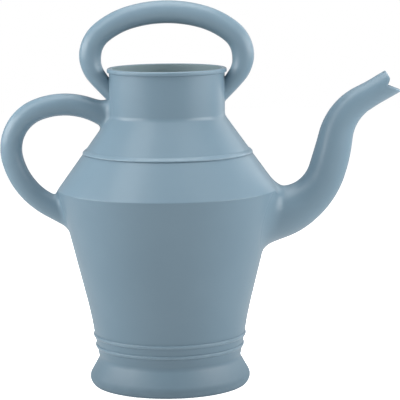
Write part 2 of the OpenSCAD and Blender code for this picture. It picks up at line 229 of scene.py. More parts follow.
class Outline:
    """The body wall's outer face as a polyline of radius and height, and the faces inside it."""

    def __init__(self, sizes):
        s = self.sizes = sizes
        self.waist_low, self.waist_top = WAIST_LOW[2], WAIST_HIGH[2]
        self.band_low, self.band_top = BAND_LOW[2], BAND_HIGH[2]
        self.band_z = (self.band_low + self.band_top) / 2
        self.neck_joint = NECK_LOW[2] + s.lap
        self.neck_top = NECK_HIGH[2]
        self.shoulder_taper = (s.max_radius - s.band_radius) / (self.band_z - s.max_height)
        self.throat_taper = (s.band_radius - s.neck_radius) / (s.neck_crease - self.band_z)
        self.waist_start = s.flare_top + 2 * MM
        self.skin = self.outer_skin()

    @staticmethod
    def across(t, taper):
        """Radial thickness of a wall of thickness t that leans by the taper."""
        return t * math.hypot(1, taper)

    def wall_radius(self, z, t=0.0):
        """Radius of the face t below the outer one, with sharp creases, above the waist."""
        s = self.sizes
        z = np.asarray(z, float)
        eased = np.maximum(s.ease_height - z, 0) ** 2 / (2 * s.ease_radius)
        tank = s.max_radius - s.tank_taper * (s.max_height - z) + eased
        tank = tank - self.across(t, s.tank_taper)
        below = self.band_z - z
        shoulder = s.band_radius + self.shoulder_taper * below - self.across(t, self.shoulder_taper)
        throat = s.band_radius + self.throat_taper * below - self.across(t, self.throat_taper)
        cone = np.maximum(np.maximum(shoulder, throat), s.neck_radius - t)
        return np.minimum(tank, cone)

    def waist_radius(self, z, t=0.0):
        """Radius between the waist and the bottom of the tank, t below the outer face."""
        s = self.sizes
        up = (np.asarray(z, float) - self.waist_start) / (self.waist_top - self.waist_start)
        gain = self.wall_radius(self.waist_top) - s.waist_radius
        return s.waist_radius - t + gain * np.maximum(up, 0) ** 0.9

    def foot_path(self, t):
        """Outline of the foot t inside its outer face, from the standing ring up to the waist."""
        s = self.sizes
        hip_z = s.flare_top - (s.foot_corner - s.waist_radius) / s.foot_flare
        path = inset([(s.stand_radius, 0), (s.heel_radius, 0), (s.foot_corner, hip_z),
                      (s.waist_radius, s.flare_top), (s.waist_radius, self.waist_low)], t)
        bends = ((s.heel_round - t, 10), (s.hip_round - t, 16), (s.waist_round + t, 12))
        arcs = [corner(*path[i:i + 3], radius, steps) for i, (radius, steps) in enumerate(bends)]
        return np.vstack([path[:1], *arcs])

    def outer_skin(self):
        """The whole outer face, from the standing ring to the top of the neck."""
        s = self.sizes
        waist = np.arange(self.waist_start + 3 * MM, self.waist_top - MM, 3 * MM)
        waist = np.stack([self.waist_radius(waist), waist], 1)

        def face(low, high, count):
            z = np.linspace(low, high, count)
            return np.stack([self.wall_radius(z), z], 1)

        def bend(z, softness, arm=20 * MM):
            return corner(*(face(level, level, 1)[0] for level in (z - arm, z, z + arm)),
                          softness, 12)
        return np.vstack([
            self.foot_path(0.0), waist,
            face(self.waist_top, s.max_height - 4 * MM, 40), bend(s.max_height, s.crease_round),
            face(s.max_height + 4 * MM, self.band_z, 12),
            face(self.band_z + 2 * MM, s.neck_crease - 8 * MM, 10),
            bend(s.neck_crease, s.neck_round), face(s.neck_crease + 12 * MM, self.neck_top, 2)])

    def radius(self, z):
        """Radius of the softened outer face at height z, above the foot's edge."""
        return np.interp(z, self.skin[:, 1], self.skin[:, 0])

    def outer(self, low, high):
        """Points of the outer face between two heights."""
        z = self.skin[:, 1]
        inside = self.skin[(z > low + TINY) & (z < high - TINY)]
        ends = [(float(self.radius(low)), low), (float(self.radius(high)), high)]
        return np.vstack([ends[:1], inside, ends[1:]])

    def under(self, low, high, t):
        """Points of the face t below the outer one between two heights."""
        s = self.sizes
        thinner = self.across(t, s.tank_taper) - self.across(t, self.shoulder_taper)
        creases = [s.max_height + thinner / (s.tank_taper + self.shoulder_taper),
                   self.band_z,
                   s.neck_crease - (self.across(t, self.throat_taper) - t) / self.throat_taper]
        rows = np.concatenate([np.arange(low, high, 6 * MM), creases, [low, high]])
        rows = np.unique(rows[(rows >= low) & (rows <= high)])
        radius = np.where(rows < self.waist_top - TINY, self.waist_radius(rows, t),
                          self.wall_radius(rows, t))
        return np.stack([radius, rows], 1)

    def shell(self, outer_half, inner_half):
        """Closed section of a shell whose outer and inner half-thicknesses span two height ranges."""
        t = self.sizes.wall

        def lap(begin, end):
            rows = self.under(*sorted((begin, end)), t / 2)
            return rows if begin < end else rows[::-1]
        return np.vstack([
            self.outer(*outer_half), lap(outer_half[1], inner_half[1]),
            self.under(*inner_half, t)[::-1], lap(inner_half[0], outer_half[0])])


def normal_to(outline, points, window):
    """Outward normals of the body wall at points, averaged over a height window."""
    z = points[..., 2]
    slope = (outline.radius(z + window) - outline.radius(z - window)) / (2 * window)
    around = points[..., :2] / np.linalg.norm(points[..., :2], axis=-1, keepdims=True)
    normal = np.concatenate([around, -slope[..., None]], axis=-1)
    return unit(normal)


def unit(vectors):
    """The vectors scaled to length 1."""
    return vectors / np.linalg.norm(vectors, axis=-1, keepdims=True)


# ---- tubes that follow arcs in the XZ plane ----

def compass(bearings):
    """Unit vectors (x, z) at angles from the X axis."""
    return np.stack([np.cos(bearings), np.sin(bearings)], -1)


def in_metres(keys, base=0.0):
    """Keys in metres, with a radius added to each."""
    return [(s * MM, base + r * MM) for s, r in keys]


class Tube:
    """A tube along legs in millimetres and degrees, starting inside the body.

    The radius keys hold for its height and the width keys for its breadth along Y.
    """

    def __init__(self, start, heading, legs, radius_keys, width_keys):
        self.start = np.array(start, float)
        self.heading = math.radians(heading)
        self.legs = [(r * MM, value * MM if r == 0 else math.radians(value)) for r, value in legs]
        self.lengths = [value if r == 0 else r * abs(value) for r, value in self.legs]
        self.length = sum(self.lengths)
        self.radius_keys = np.array(radius_keys, float)
        self.width_keys = np.array(width_keys, float)

    @staticmethod
    def step(at, heading, radius, side, run):
        """Point and heading after a run along a leg, from a point and a heading."""
        if radius == 0:
            return at + run[..., None] * compass(heading), heading + 0 * run
        turned = heading + side * run / radius
        quarter = math.pi / 2
        return at + radius * side * (compass(heading + quarter) - compass(turned + quarter)), turned

    def walk(self, s):
        """Centre points (x, z) and headings at distances s."""
        centre = np.zeros(s.shape + (2,))
        turned = np.zeros(s.shape)
        at, heading, begun = self.start, self.heading, 0.0
        for index, ((radius, value), span) in enumerate(zip(self.legs, self.lengths)):
            on = (s >= begun) | (index == 0)
            side = math.copysign(1, value)
            here, head = self.step(at, heading, radius, side, s - begun)
            centre[on], turned[on] = here[on], head[on]
            at, heading = self.step(at, heading, radius, side, np.float64(span))
            begun += span
        return centre, turned

    @staticmethod
    def fair(keys, s):
        """Value at s on the fair curve through the keys (distance, value)."""
        if len(keys) == 1:
            return np.full(np.shape(s), keys[0, 1])
        x, y = keys[:, 0], keys[:, 1]
        i = np.arange(len(x))
        after, before = np.minimum(i + 1, len(x) - 1), np.maximum(i - 1, 0)
        slope = (y[after] - y[before]) / (x[after] - x[before])
        s = np.clip(s, x[0], x[-1])
        i = np.clip(np.searchsorted(x, s, side="right") - 1, 0, len(x) - 2)
        w = x[i + 1] - x[i]
        u = (s - x[i]) / w
        v = 1 - u
        return (y[i] * v * v * (1 + 2 * u) + y[i + 1] * u * u * (3 - 2 * u)
                + w * u * v * (slope[i] * v - slope[i + 1] * u))

    def skin(self, s, a, t=0.0):
        """Points at distance s and angle a round the tube, t below its outer face."""
        centre, head = self.walk(s)
        r = self.fair(self.radius_keys, s) - t
        w = self.fair(self.width_keys, s) - t
        return np.stack([centre[..., 0] - r * np.cos(a) * np.sin(head), w * np.sin(a),
                         centre[..., 1] + r * np.cos(a) * np.cos(head)], -1)

    def stretch(self, a, begin, end, shares, t=0.0):
        """Rows of the skin at shares of the way from begin to end, numbers or one per angle."""
        return [self.skin(np.broadcast_to(begin + (end - begin) * u, a.shape), a, t)
                for u in shares]

    def exit(self, outline, a, t, inside, outside):
        """Distances at which the lines at angles a come out of the body wall."""
        low = np.full(a.shape, float(inside))
        high = np.full(a.shape, float(outside))
        for _ in range(24):
            middle = (low + high) / 2
            p = self.skin(middle, a, t)
            out = np.hypot(p[:, 0], p[:, 1]) > outline.radius(p[:, 2])
            high = np.where(out, middle, high)
            low = np.where(out, low, middle)
        return high


def flare(outline, tube, a, leaves_at, along, spread, side, steps=14):
    """Rows of points that sweep from the tube's side down to the body wall at angles a.

    along and spread are how far the fillet reaches up the tube and out over the body, and side
    is 1 where the tube leaves the body and -1 where it comes back.
    """
    meeting = tube.skin(leaves_at, a)
    centre, _ = tube.walk(leaves_at)
    middle = np.stack([centre[:, 0], np.zeros(len(a)), centre[:, 1]], -1)
    normal = normal_to(outline, meeting, TUBE_WINDOW)
    out = unit(meeting - middle)
    out = unit(out - (out * normal).sum(-1, keepdims=True) * normal)

    def on_wall(p):
        """The points moved radially on to the outer face."""
        k = outline.radius(p[:, 2]) / np.hypot(p[:, 0], p[:, 1])
        return np.stack([p[:, 0] * k, p[:, 1] * k, p[:, 2]], -1)
    edge = on_wall(meeting + spread[:, None] * out)
    edge_normal = normal_to(outline, edge, EDGE_WINDOW)
    top = tube.skin(leaves_at + side * along, a)
    down = unit(tube.skin(leaves_at + side * (along - MM), a) - top)
    inward = meeting - edge
    inward = unit(inward - (inward * edge_normal).sum(-1, keepdims=True) * edge_normal)
    reach_top, reach_edge = (FLARE_FULLNESS * np.linalg.norm(meeting - end, axis=-1, keepdims=True)
                             for end in (top, edge))
    rows = []
    for u in np.linspace(0, 1, steps + 1):
        v = 1 - u
        rows.append(v ** 3 * top + 3 * v * v * u * (top + down * reach_top)
                    + 3 * v * u * u * (edge + inward * reach_edge) + u ** 3 * edge)
    tucked = on_wall(edge + FLARE_EDGE * out) - FLARE_EDGE / 2 * edge_normal
    return rows + [tucked, edge - 2 * FLARE_EDGE * edge_normal]


# ---- node groups and meshes ----

def give(node, values):
    """Sets a node's inputs by name."""
    for label, value in values.items():
        node.inputs[label].default_value = value


def add_object(name, data):
    """Links a new object at the origin."""
    obj = bpy.data.objects.new(name, data)
    bpy.context.scene.collection.objects.link(obj)
    return obj


def face_outwards(mesh):
    """Turns a closed mesh the right way out."""
    bm = bmesh.new()
    bm.from_mesh(mesh)
    bmesh.ops.recalc_face_normals(bm, faces=bm.faces)
    if bm.calc_volume(signed=True) < 0:
        bmesh.ops.reverse_faces(bm, faces=bm.faces)
    bm.to_mesh(mesh)
    bm.free()


def settle(obj):
    """Replaces an object's mesh by its evaluated one and removes its modifiers."""
    graph = bpy.context.evaluated_depsgraph_get()
    mesh = bpy.data.meshes.new_from_object(obj.evaluated_get(graph))
    obj.modifiers.clear()
    old, obj.data = obj.data, mesh
    mesh.name = obj.name
    bpy.data.meshes.remove(old)


def new_group(name, inputs, outputs, kind="Shader"):
    """An empty node group with (type, name) sockets; an input may have a default as well."""
    tree = bpy.data.node_groups.new(name, kind + "NodeTree")
    for in_out, sockets in (("INPUT", inputs), ("OUTPUT", outputs)):
        for value_type, label, *default in sockets:
            socket = tree.interface.new_socket(label, in_out=in_out,
                                               socket_type="NodeSocket" + value_type)
            if default:
                socket.default_value = default[0]
    return tree, tree.nodes.new("NodeGroupInput"), tree.nodes.new("NodeGroupOutput")


def turned_group():
    """Geometry nodes that turn a section in the XZ plane round the Z axis."""
    tree, given, result = new_group(
        "Turned wall", [("Geometry", "Section"), ("Int", "Segments", 216),
                        ("Float", "Crease angle", 0.5), ("Material", "Material")],
        [("Geometry", "Wall")], "Geometry")
    guide = 10 * MM
    link = tree.links.new
    curve, lay, circle, sweep, merge, smooth, angles, crease, realize, paint = (
        tree.nodes.new("GeometryNode" + kind) for kind in (
            "MeshToCurve", "Transform", "CurvePrimitiveCircle", "CurveToMesh", "MergeByDistance",
            "SetShadeSmooth", "InputMeshEdgeAngle", "SetShadeSmooth", "RealizeInstances",
            "SetMaterial"))
    give(lay, {"Translation": (-guide, 0, 0), "Rotation": (math.pi / 2, 0, 0)})
    give(circle, {"Radius": guide})
    give(merge, {"Distance": MM / 1000})
    sharp = tree.nodes.new("FunctionNodeCompare")
    sharp.operation = "GREATER_THAN"
    crease.domain = "EDGE"
    give(crease, {"Shade Smooth": False})
    link(given.outputs["Section"], curve.inputs[0])
    link(curve.outputs[0], lay.inputs[0])
    link(given.outputs["Segments"], circle.inputs["Resolution"])
    link(circle.outputs["Curve"], sweep.inputs["Curve"])
    link(lay.outputs[0], sweep.inputs["Profile Curve"])
    link(angles.outputs["Unsigned Angle"], sharp.inputs[0])
    link(given.outputs["Crease angle"], sharp.inputs[1])
    link(sharp.outputs[0], crease.inputs["Selection"])
    link(given.outputs["Material"], paint.inputs["Material"])
    steps = (sweep, merge, smooth, crease, realize, paint, result)
    for before, after in zip(steps, steps[1:]):
        link(before.outputs[0], after.inputs[0])
    return tree


def turn(name, section, material, rub=None, foot_shade=None, inner_light=None, closed=True):
    """A turned piece from rows of (radius, height), with masks for wear, painted shade and painted
    light.
    """
    count = len(section)
    mesh = bpy.data.meshes.new(name)
    edges = [(i, (i + 1) % count) for i in range(count if closed else count - 1)]
    mesh.from_pydata([(float(r), 0.0, float(z)) for r, z in section], edges, [])
    for mask, rows in (("rub", rub), ("foot_shade", foot_shade), ("inner_light", inner_light)):
        values = np.zeros(count) if rows is None else np.asarray(rows, float)
        mesh.attributes.new(mask, "FLOAT", "POINT").data.foreach_set("value", values)
    obj = add_object(name, mesh)
    modifier = obj.modifiers.new("Turned wall", "NODES")
    modifier.node_group = bpy.data.node_groups.get("Turned wall") or turned_group()
    inputs = {"Segments": bpy.context.scene.can_body.segments, "Crease angle": math.radians(28),
              "Material": material}
    for item in modifier.node_group.interface.items_tree:
        if item.in_out == "INPUT" and item.name in inputs:
            modifier[item.identifier] = inputs[item.name]
    settle(obj)
    face_outwards(obj.data)
    return obj


def loft(name, rows, rub_rows, material):
    """A closed skin from rows of points round a tube; the last row joins the first."""
    grid = np.stack(rows)
    count, sides = grid.shape[:2]
    mesh = bpy.data.meshes.new(name)
    i, j = np.meshgrid(np.arange(count), np.arange(sides), indexing="ij")
    k, m = (i + 1) % count, (j + 1) % sides
    faces = np.stack([i * sides + j, i * sides + m, k * sides + m, k * sides + j], -1)
    mesh.from_pydata(grid.reshape(-1, 3).tolist(), [], faces.reshape(-1, 4).tolist())
    rub = np.repeat(np.asarray(rub_rows, float), sides)
    mesh.attributes.new("rub", "FLOAT", "POINT").data.foreach_set("value", rub)
    face_outwards(mesh)
    mesh.shade_smooth()
    mesh.set_sharp_from_angle(angle=math.radians(40))
    mesh.materials.append(material)
    return add_object(name, mesh)


def bore(obj, start, heading, radius):
    """Cuts the round hole through which the body opens into the spout."""
    mesh = bpy.data.meshes.new("cutter")
    bm = bmesh.new()
    bmesh.ops.create_cone(bm, cap_ends=True, segments=64, radius1=radius, radius2=radius,
                          depth=60 * MM)
    lean = Euler((0, math.pi / 2 - heading, 0)).to_matrix().to_4x4()
    stand = Matrix.Translation((start[0], 0, start[1])) @ lean
    bmesh.ops.transform(bm, matrix=stand, verts=bm.verts)
    bm.to_mesh(mesh)
    bm.free()
    cutter = add_object("cutter", mesh)
    cut = obj.modifiers.new("Spout hole", "BOOLEAN")
    cut.operation = "DIFFERENCE"
    cut.solver = "EXACT"
    cut.object = cutter
    settle(obj)
    bpy.data.objects.remove(cutter)


def place(obj, node):
    """Makes a piece stand for its CAD node."""
    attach(obj, ROOT)
    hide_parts(node)


# ---- materials ----

def feed(tree, socket, value):
    """Gives an input a number or a link."""
    if isinstance(value, (int, float)):
        socket.default_value = value
    else:
        tree.links.new(value, socket)


def math_node(tree, operation, a, b):
    """A math node whose inputs are sockets or numbers."""
    node = tree.nodes.new("ShaderNodeMath")
    node.operation = operation
    feed(tree, node.inputs[0], a)
    feed(tree, node.inputs[1], b)
    return node.outputs[0]


def noise(tree, vector, scale, detail, roughness=0.5):
    """A noise texture whose scale is a socket or a number."""
    node = tree.nodes.new("ShaderNodeTexNoise")
    tree.links.new(vector, node.inputs["Vector"])
    give(node, {"Detail": detail, "Roughness": roughness})
    feed(tree, node.inputs["Scale"], scale)
    return node.outputs["Fac"]


def blend_colour(tree, factor, a, b):
    """A colour mix whose inputs are sockets."""
    node = tree.nodes.new("ShaderNodeMix")
    node.data_type = "RGBA"
    tree.links.new(factor, node.inputs["Factor"])
    tree.links.new(a, node.inputs["A"])
    tree.links.new(b, node.inputs["B"])
    return next(s for s in node.outputs if s.type == "RGBA")


def grain_group():
    """Fine moulded grain: a height for bump and a slight change of roughness."""
    tree, given, result = new_group(
        "Moulded grain",
        [("Vector", "Vector"), ("Float", "Scale", 1400.0), ("Float", "Ripple", 0.25)],
        [("Float", "Height"), ("Float", "Dull")])
    fine = noise(tree, given.outputs["Vector"], given.outputs["Scale"], 3.0, 0.6)
    broad = noise(tree, given.outputs["Vector"], 46.0, 2.0)
    ripple = math_node(tree, "MULTIPLY", broad, given.outputs["Ripple"])
    tree.links.new(math_node(tree, "ADD", fine, ripple), result.inputs["Height"])
    tree.links.new(math_node(tree, "SUBTRACT", fine, 0.5), result.inputs["Dull"])
    return tree


def mottle_group():
    """Slow drift of the colour and gloss from uneven cooling in the mould."""
    tree, given, result = new_group(
        "Plastic mottle",
        [("Vector", "Vector"), ("Color", "Colour"), ("Color", "Deep colour"),
         ("Float", "Scale", 14.0)],
        [("Color", "Colour"), ("Float", "Drift")])
    slow = noise(tree, given.outputs["Vector"], given.outputs["Scale"], 3.0, 0.55)
    ramp = tree.nodes.new("ShaderNodeMapRange")
    ramp.interpolation_type = "SMOOTHSTEP"
    give(ramp, {"From Min": 0.3, "From Max": 0.7})
    tree.links.new(slow, ramp.inputs["Value"])
    mixed = blend_colour(tree, ramp.outputs["Result"], given.outputs["Colour"],
                         given.outputs["Deep colour"])
    tree.links.new(mixed, result.inputs["Colour"])
    tree.links.new(math_node(tree, "SUBTRACT", slow, 0.5), result.inputs["Drift"])
    return tree


def wear_and_painted_light_group():
    """Patches of another colour and roughness under a mask: polish from wear, painted shade or
    painted light.
    """
    tree, given, result = new_group(
        "Patchy wear and painted light",
        [("Vector", "Vector"), ("Color", "Colour"), ("Color", "Worn colour"),
         ("Float", "Mask"), ("Float", "Scale", 85.0), ("Float", "Even cover"),
         ("Float", "Patchy cover", 1.0), ("Float", "Roughness", 0.4), ("Float", "Roughening", 0.1)],
        [("Color", "Colour"), ("Float", "Roughness")])
    value = given.outputs
    patch = noise(tree, value["Vector"], value["Scale"], 4.0, 0.6)
    patchy = math_node(tree, "MULTIPLY", patch, value["Patchy cover"])
    strength = math_node(tree, "ADD", patchy, value["Even cover"])
    cover = math_node(tree, "MULTIPLY", value["Mask"], strength)
    cover = math_node(tree, "MINIMUM", cover, 1.0)
    mixed = blend_colour(tree, cover, value["Colour"], value["Worn colour"])
    tree.links.new(mixed, result.inputs["Colour"])
    change = math_node(tree, "MULTIPLY", cover, value["Roughening"])
    rough = math_node(tree, "ADD", value["Roughness"], change)
    tree.links.new(math_node(tree, "MINIMUM", rough, 0.9), result.inputs["Roughness"])
    return tree


def group_node(tree, name, make):
    """A node for the shared shader group of that name, made the first time it is asked for."""
    node = tree.nodes.new("ShaderNodeGroup")
    node.node_tree = bpy.data.node_groups.get(name) or make()
    return node


def wear_and_painted_light(tree, mask_name, worn_colour, scale, even, patchy, roughening):
    """A patchy layer that follows the piece's mask of that name: wear, painted shade or painted
    light.

    even and patchy are the shares of the mask that it covers everywhere and in patches.
    """
    node = group_node(tree, "Patchy wear and painted light", wear_and_painted_light_group)
    give(node, {"Worn colour": (*worn_colour, 1), "Scale": scale, "Even cover": even,
                "Patchy cover": patchy, "Roughening": roughening})
    mask = tree.nodes.new("ShaderNodeAttribute")
    mask.attribute_name = mask_name
    tree.links.new(mask.outputs["Fac"], node.inputs["Mask"])
    return node


def plastic(name, grain_scale, grain_height, polish):
    """Satin slate-blue plastic, polished where worn, with painted shade on the foot and painted light
    inside, where a piece's masks say so.
    """
    material = bpy.data.materials.get(name)
    if material:
        return material
    finish = bpy.context.scene.can_finish
    material = bpy.data.materials.new(name)
    material.use_nodes = True
    tree = material.node_tree
    link = tree.links.new
    shader = tree.nodes["Principled BSDF"]
    give(shader, {"IOR": 1.5, "Specular IOR Level": 0.38})
    coords = tree.nodes.new("ShaderNodeTexCoord")
    grain = group_node(tree, "Moulded grain", grain_group)
    give(grain, {"Scale": grain_scale})
    mottle = group_node(tree, "Plastic mottle", mottle_group)
    give(mottle, {"Colour": (*finish.shell_colour, 1), "Deep colour": (*finish.deep_colour, 1)})
    uneven = math_node(tree, "MULTIPLY", mottle.outputs["Drift"], MOTTLE_ROUGHNESS)
    rough = math_node(tree, "ADD", uneven, finish.roughness)
    speck = math_node(tree, "MULTIPLY", grain.outputs["Dull"], GRAIN_ROUGHNESS)
    rough = math_node(tree, "ADD", rough, speck)
    base = mottle.outputs["Colour"]
    layers = (
        wear_and_painted_light(tree, "rub", finish.rub_colour, scale=85, even=0, patchy=1, roughening=-polish),
        # Painted shade on the foot: darker, rougher plastic along the standing edge and over the
        # flare
        wear_and_painted_light(tree, "foot_shade", finish.foot_shade_colour, scale=120, even=0.7, patchy=0.5, roughening=0.9),
        # Painted light on the inner faces: lighter, as if lit through the mouth
        wear_and_painted_light(tree, "inner_light", finish.inner_light_colour, scale=34, even=0.7, patchy=0.5, roughening=0.3))
    for layer in layers:
        link(base, layer.inputs["Colour"])
        link(rough, layer.inputs["Roughness"])
        base, rough = layer.outputs["Colour"], layer.outputs["Roughness"]
    for node in (grain, mottle, *layers):
        link(coords.outputs["Object"], node.inputs["Vector"])
    bump = tree.nodes.new("ShaderNodeBump")
    give(bump, {"Strength": 0.35, "Distance": grain_height})
    link(grain.outputs["Height"], bump.inputs["Height"])
    link(base, shader.inputs["Base Color"])
    link(rough, shader.inputs["Roughness"])
    link(bump.outputs["Normal"], shader.inputs["Normal"])
    return material


def shell_plastic():
    """The body's plastic."""
    return plastic("shell_plastic", 1400.0, 0.06 * MM, 0.10)


def handle_plastic():
    """The handles' plastic, smoother where hands have polished it."""
    return plastic("handle_plastic", 1600.0, 0.05 * MM, 0.14)


def floor_paint():
    """Pale matt floor with a trace of unevenness."""
    material = bpy.data.materials.new("pale_floor")
    material.use_nodes = True
    tree = material.node_tree
    shader = tree.nodes["Principled BSDF"]
    give(shader, {"Roughness": 0.9, "Emission Color": (1, 1, 1, 1), "Emission Strength": 0.95})
    coords = tree.nodes.new("ShaderNodeTexCoord")
    ramp = tree.nodes.new("ShaderNodeValToRGB")
    for stop, grey in zip(ramp.color_ramp.elements, (0.93, 0.95)):
        stop.color = (grey, grey, grey, 1)
    tree.links.new(noise(tree, coords.outputs["Object"], 3.0, 2.0), ramp.inputs["Fac"])
    tree.links.new(ramp.outputs["Color"], shader.inputs["Base Color"])
    return material


# ---- operators: one for each piece or group of like pieces ----

class BuildOperator:
    """What every build step shares."""
    bl_options = {"REGISTER", "UNDO"}

    def execute(self, context):
        """Builds the pieces, and lets any error stop the run."""
        self.build(context, Outline(context.scene.can_body), context.scene.can_tubes)
        return {"FINISHED"}


class CAN_OT_foot(BuildOperator, bpy.types.Operator):
    """Build the flared foot and the pan inside it"""
    bl_idname = "can.foot"
    bl_label = "Foot and base pan"

    def build(self, context, outline, tubes):
        """Turns the foot with its inner sleeve, and the recessed pan."""
        s = outline.sizes
        sleeve_top = outline.waist_top + s.lap
        skin = outline.skin
        outside = np.vstack([skin[skin[:, 1] < outline.waist_low - TINY],
                             [(float(outline.radius(outline.waist_low)), outline.waist_low)]])
        mid = outline.under(outline.waist_low, sleeve_top, s.wall / 2)
        inside = outline.under(outline.waist_low, sleeve_top, s.wall)[::-1]
        section = np.vstack([outside, mid, inside, outline.foot_path(s.wall)[::-1]])
        height = np.clip(section[:, 1], 0, None)
        # Painted shade: the foot is darkened and made rougher towards its standing edge and over its
        # flare
        edge_shade = 0.9 * np.exp(-height / (1.8 * MM))
        flare_shade = 0.34 * np.exp(-(height / (24 * MM)) ** 2)
        foot = turn("foot", section, shell_plastic(), foot_shade=edge_shade + flare_shade)
        place(foot, "foot")

        low, top, edge = PAN_LOW[2], PAN_HIGH[2], 0.6 * MM
        floor_z = low + PAN_THICKNESS
        seat = s.waist_radius - outline.across(s.wall, s.foot_flare)
        low_r, floor_r, top_r = (seat + s.foot_flare * (s.flare_top - z) for z in (low, floor_z, top))
        inner_top = (top_r - PAN_THICKNESS, top)
        bend = corner(inner_top, (floor_r - PAN_THICKNESS, floor_z), (0, floor_z), 2.5 * MM, 6)
        section = [(0, low), (low_r - edge, low), (low_r, low + edge), (top_r, top), inner_top,
                   *bend, (0, floor_z)]
        pan = turn("base_pan", section, shell_plastic(), closed=False)
        place(pan, "base_pan")


class CAN_OT_shells(BuildOperator, bpy.types.Operator):
    """Build the tank, shoulder, throat and neck"""
    bl_idname = "can.shells"
    bl_label = "Body shells"

    def build(self, context, outline, tubes):
        """Cuts four shells from the outline, with half laps where they join."""
        s, o = outline.sizes, outline
        spans = {
            "tank": ((o.waist_top, s.max_height), (o.waist_top + s.lap, s.max_height - s.lap)),
            "shoulder": ((s.max_height, o.band_low), (s.max_height - s.lap, o.band_low - s.lap)),
            "throat": ((o.band_top, o.neck_joint), (o.band_low - s.lap, o.neck_joint - s.lap)),
            "neck": ((o.neck_joint, o.neck_top), (o.neck_joint - s.lap, o.neck_top)),
        }
        spout = spout_tube()
        for name, (outer_half, inner_half) in spans.items():
            section = o.shell(outer_half, inner_half)
            # Painted light: the inner faces are marked to be drawn lighter, as if lit through the
            # mouth
            inner_light = section[:, 0] < o.radius(section[:, 1]) - 0.75 * s.wall
            obj = turn(name, section, shell_plastic(), inner_light=inner_light)
            if name in ("tank", "shoulder"):
                bore(obj, spout.start, spout.heading, SPOUT_HOLE)
            place(obj, name)


class CAN_OT_bands(BuildOperator, bpy.types.Operator):
    """Build the beaded waist band, the shoulder band and the rim"""
    bl_idname = "can.bands"
    bl_label = "Bands and rim"

    def build(self, context, outline, tubes):
        """Turns the three raised rings."""
        s, o = outline.sizes, outline

        def band(name, rows, lift, height):
            """A ring on the outline, raised by the height where lift is 1."""
            face = np.stack([o.radius(rows) + height * lift, rows], 1)
            back = o.under(rows[0], rows[-1], s.wall / 2)[::-1]
            rub = np.concatenate([lift, np.zeros(len(back))])
            place(turn(name, np.vstack([face, back]), shell_plastic(), rub), name)

        beads = [o.waist_low + share * (o.waist_top - o.waist_low) for share in BEAD_SHARES]
        across = s.bead_half * np.cos(np.linspace(math.pi, 0, 17))
        rows = np.concatenate([[o.waist_low], *[bead + across for bead in beads], [o.waist_top]])
        off = np.min([np.abs(rows - bead) / s.bead_half for bead in beads], axis=0)
        band("waist_band", rows, np.sqrt(1 - np.minimum(off, 1) ** 2), s.bead_height)

        share = (1 - np.cos(np.linspace(0, math.pi, 25))) / 2
        rows = o.band_low + (o.band_top - o.band_low) * share
        lift = np.maximum(np.sin(math.pi * share ** 0.6), 0) ** 0.7
        band("shoulder_band", rows, lift, s.band_height)

        out, inside = RIM_HIGH[0], s.neck_radius - s.wall
        low, top = RIM_LOW[2], RIM_HIGH[2]
        section = np.vstack([
            [(s.neck_radius, low)],
            corner((s.neck_radius, low), (out, low), (out, top), 1.1 * MM, 6),
            corner((out, low), (out, top), (inside, top), 1.8 * MM, 8),
            corner((out, top), (inside, top), (inside, low), 0.8 * MM, 5),
            [(inside, o.neck_top), (s.neck_radius, o.neck_top)]])
        rub = np.where(section[:, 1] > o.neck_top + MM, LIP_RUB, 0.0)
        # Painted light: the rim's inner face is marked to be drawn lighter, as if lit through the
        # mouth
        inner_light = section[:, 0] < inside + 0.1 * MM
        place(turn("rim", section, shell_plastic(), rub, inner_light=inner_light), "rim")


def spout_tube():
    """The spout's centre line, from inside the tank to the notches of its tip."""
    keys = in_metres(SPOUT_KEYS)
    return Tube(np.array(SPOUT_START) * MM, SPOUT_HEADING, SPOUT_LEGS, keys, keys)


def round_angles(tubes):
    """The angles of a tube's facets, from its upper side."""
    return 2 * math.pi * np.arange(tubes.sides) / tubes.sides


class CAN_OT_spout(BuildOperator, bpy.types.Operator):
    """Build the hollow swan-neck spout with its fish-mouth tip"""
    bl_idname = "can.spout"
    bl_label = "Spout"

    def build(self, context, outline, tubes):
        """Lofts the spout from its flared root to the tip and back along the bore."""
        tube = spout_tube()
        t = tubes.tube_wall
        a = round_angles(tubes)
        up = np.cos(a)
        rise = np.sin(np.clip(2 * up, 0, 1) * math.pi / 2)
        tip = tube.length + np.where(up > 0, tubes.upper_lip * rise, -tubes.lower_lip * up)
        lip = tip - LIP_ROUND
        clear, last = SPOUT_ENDS[0], tube.length - SPOUT_ENDS[1]
        leaves = tube.exit(outline, a, 0.0, 0.0, clear)
        inner = tube.exit(outline, a, t, 0.0, clear)
        sideways = np.abs(np.sin(a))
        above = np.clip(up, 0, 1)
        along = (10 + 5 * sideways + 2 * above) * MM
        spread = (9 + 7 * sideways + 3 * above) * MM
        rows = flare(outline, tube, a, leaves, along, spread, 1)[::-1]
        rows += tube.stretch(a, leaves + along, clear, between(13))
        rows += tube.stretch(a, clear, last, np.linspace(0, 1, 54))
        rows += tube.stretch(a, last, lip, between(7))
        lip_begins = len(rows)
        near, mid = 0.2 * MM, 0.75 * MM
        for back, depth in ((LIP_ROUND, 0.0), (0.25 * MM, near), (0.0, mid), (0.0, t - mid),
                            (0.25 * MM, t - near), (LIP_ROUND, t)):
            rows.append(tube.skin(tip - back, a, depth))
        lip_ends = len(rows)
        rows += tube.stretch(a, last, lip, between(7)[::-1], t)
        rows += tube.stretch(a, clear, last, np.linspace(1, 0, 54), t)
        rows += tube.stretch(a, clear, inner, np.linspace(0, 1, 10)[1:], t)
        rows.append(tube.skin(inner - INNER_RUN, a, t))
        rub = np.zeros(len(rows))
        rub[lip_begins:lip_ends] = LIP_RUB
        place(loft("spout", rows, rub, shell_plastic()), "spout")


def between(count):
    """Shares that part 0 to 1 into count, without the ends."""
    return np.linspace(0, 1, count + 1)[1:-1]


